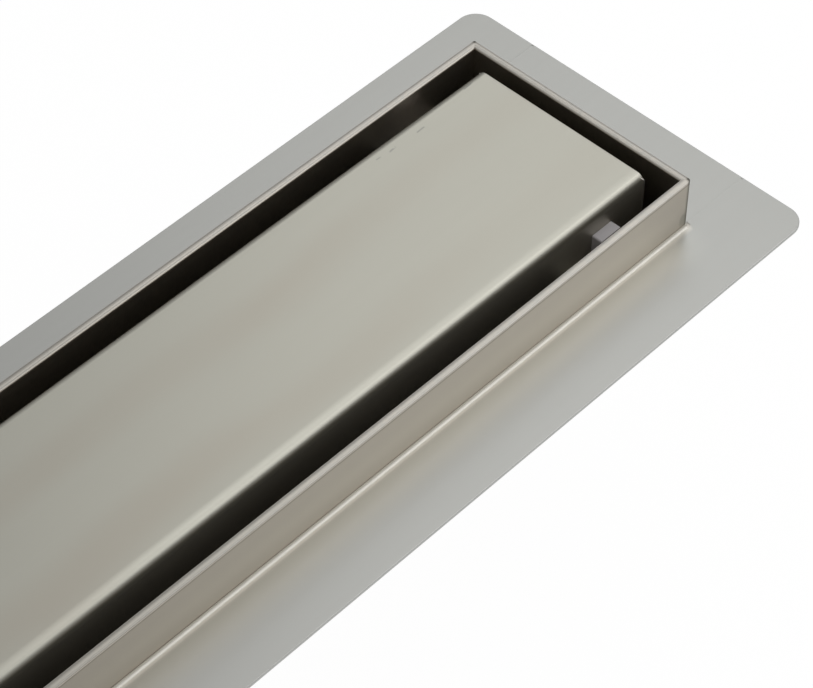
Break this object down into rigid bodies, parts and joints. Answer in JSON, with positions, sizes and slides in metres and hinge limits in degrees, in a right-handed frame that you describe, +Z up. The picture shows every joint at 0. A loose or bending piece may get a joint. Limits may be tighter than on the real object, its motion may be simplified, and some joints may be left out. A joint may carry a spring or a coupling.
{
  "type": "linear drain",
  "caption": "Slim stainless linear shower drain: folded trough with upstanding rim, sealing flange, plain drop-in cover and odour trap with side outlet.",
  "frame": {"origin": "on the ground under the middle of the drain, at the underside of the trap", "axes": "+X along the drain towards the end with the outlet spigot, +Z up"},
  "size_m": [0.6444, 0.11, 0.0994],
  "materials": {
    "satin_steel": "satin stainless",
    "trough_steel": "satin stainless, ground upper edge",
    "cover_steel": "satin stainless",
    "clip_plastic": "moulded, white",
    "trap_plastic": "moulded, grey",
    "seal_rubber": "moulded, black"
  },
  "bodies": {
    "root": {"trough": "trough_steel", "flange": "satin_steel", "cover": "cover_steel", "spacer_clip_1": "clip_plastic", "spacer_clip_2": "clip_plastic", "spacer_clip_3": "clip_plastic", "spacer_clip_4": "clip_plastic", "spacer_clip_5": "clip_plastic", "spacer_clip_6": "clip_plastic", "spacer_clip_7": "clip_plastic", "spacer_clip_8": "clip_plastic", "support_bridge_1": "satin_steel", "support_bridge_2": "satin_steel", "support_bridge_3": "satin_steel", "support_bridge_4": "satin_steel", "outlet_ring": "trap_plastic", "upper_gasket": "seal_rubber", "lower_gasket": "seal_rubber", "trap_body": "trap_plastic", "dip_tube": "trap_plastic", "dip_tube_seal": "seal_rubber", "trap_cup": "trap_plastic", "strainer": "satin_steel"}
  },
  "joints": []
}
